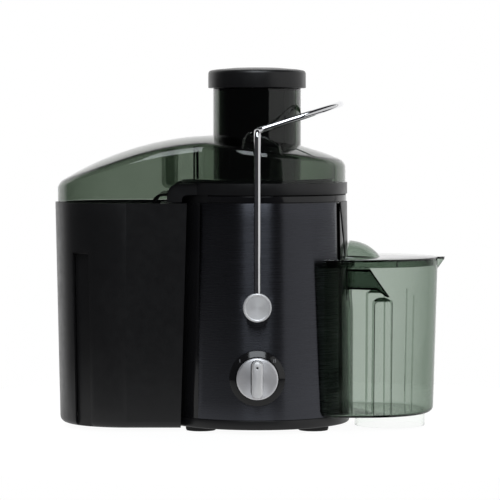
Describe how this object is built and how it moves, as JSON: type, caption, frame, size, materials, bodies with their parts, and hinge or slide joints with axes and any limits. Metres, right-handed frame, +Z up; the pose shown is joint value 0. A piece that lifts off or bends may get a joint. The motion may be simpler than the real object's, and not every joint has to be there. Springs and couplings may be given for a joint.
{
  "type": "centrifugal juicer",
  "caption": "Centrifugal juicer: motor base with brushed panel and knob, smoked lid with wide feed tube, wire locking bail, pulp container at the left and juice jug at the right.",
  "frame": {"origin": "motor axis on the worktop plane, under the motor base", "axes": "+X towards the juice jug, +Y to the rear, +Z up along the motor axis"},
  "size_m": [0.3657, 0.2056, 0.3356],
  "materials": {
    "black_plastic": "satin moulded",
    "gloss_black": "gloss moulded",
    "brushed_panel": "brushed, dark tinted",
    "smoked_clear": "clear smoked plastic",
    "chrome_wire": "polished",
    "silver_plastic": "spun silver",
    "bezel_silver": "smoked silver",
    "rubber": "matt",
    "steel": "plain",
    "sieve_steel": "etched sheet",
    "laminations": "stacked sheet steel",
    "copper": "enamelled copper",
    "bronze": "sintered",
    "carbon": "pressed carbon",
    "zinc_bracket": "die cast",
    "grey_plastic": "plain",
    "white_plastic": "plain",
    "yellow_film": "film capacitor"
  },
  "bodies": {
    "base": {"base_plate": "black_plastic", "rubber_feet": "rubber", "base_screws": "steel", "housing_shell": "gloss_black", "front_panel": "brushed_panel", "motor_deck": "black_plastic", "deck_screws": "steel", "shaft_seal": "rubber", "motor_mounts": "rubber", "upper_bracket": "zinc_bracket", "upper_bearing": "bronze", "stator_core": "laminations", "field_coils": "copper", "lower_bracket": "zinc_bracket", "lower_bearing": "bronze", "brush_holders": "bronze", "carbon_brushes": "carbon", "motor_bolts": "steel", "terminal_block": "white_plastic", "suppressor": "yellow_film", "cord_gland": "rubber", "rotary_switch": "black_plastic", "interlock_switch": "black_plastic", "knob_bezel": "bezel_silver", "bail_bushes": "black_plastic", "juice_bowl": "black_plastic", "juice_spout": "smoked_clear", "lid": "smoked_clear"},
    "rotor": {"motor_shaft": "steel", "armature_core": "laminations", "armature_windings": "copper", "commutator": "copper", "cooling_fan": "black_plastic", "drive_coupling": "black_plastic", "basket_hub": "grey_plastic", "filter_basket": "sieve_steel", "basket_rim": "grey_plastic", "grater_disc": "sieve_steel", "disc_nut": "steel"},
    "bail": {"bail_wire": "chrome_wire", "front_pivot_cap": "silver_plastic", "rear_pivot_cap": "silver_plastic", "bail_clips": "steel", "interlock_cam": "white_plastic"},
    "knob": {"control_knob": "silver_plastic", "knob_spindle": "steel"},
    "pusher": {"pusher_body": "black_plastic", "pusher_cap": "black_plastic"},
    "container": {"pulp_container": "black_plastic", "container_pads": "rubber"},
    "jug": {"juice_jug": "smoked_clear"},
    "jug_cover": {"jug_lid": "smoked_clear"}
  },
  "joints": [
    {"name": "rotor_spin", "type": "hinge", "parent": "base", "child": "rotor", "pos_m": [0, 0, 0.1], "axis": [0, 0, 1], "continuous": true},
    {"name": "bail_swing", "type": "hinge", "parent": "base", "child": "bail", "pos_m": [0, 0, 0.1166], "axis": [0, 1, 0], "range_deg": [0, 35]},
    {"name": "knob_turn", "type": "hinge", "parent": "base", "child": "knob", "pos_m": [0, -0.09, 0.0517], "axis": [0, 1, 0], "range_deg": [-45, 45]},
    {"name": "pusher_lift", "type": "slide", "parent": "base", "child": "pusher", "axis": [0, 0, 1], "range_m": [0, 0.115]},
    {"name": "container_pull", "type": "slide", "parent": "base", "child": "container", "axis": [-1, 0, 0], "range_m": [0, 0.12]},
    {"name": "jug_pull", "type": "slide", "parent": "base", "child": "jug", "axis": [1, 0, 0], "range_m": [0, 0.12]},
    {"name": "jug_lid_lift", "type": "slide", "parent": "jug", "child": "jug_cover", "axis": [0, 0, 1], "range_m": [0, 0.04]}
  ]
}
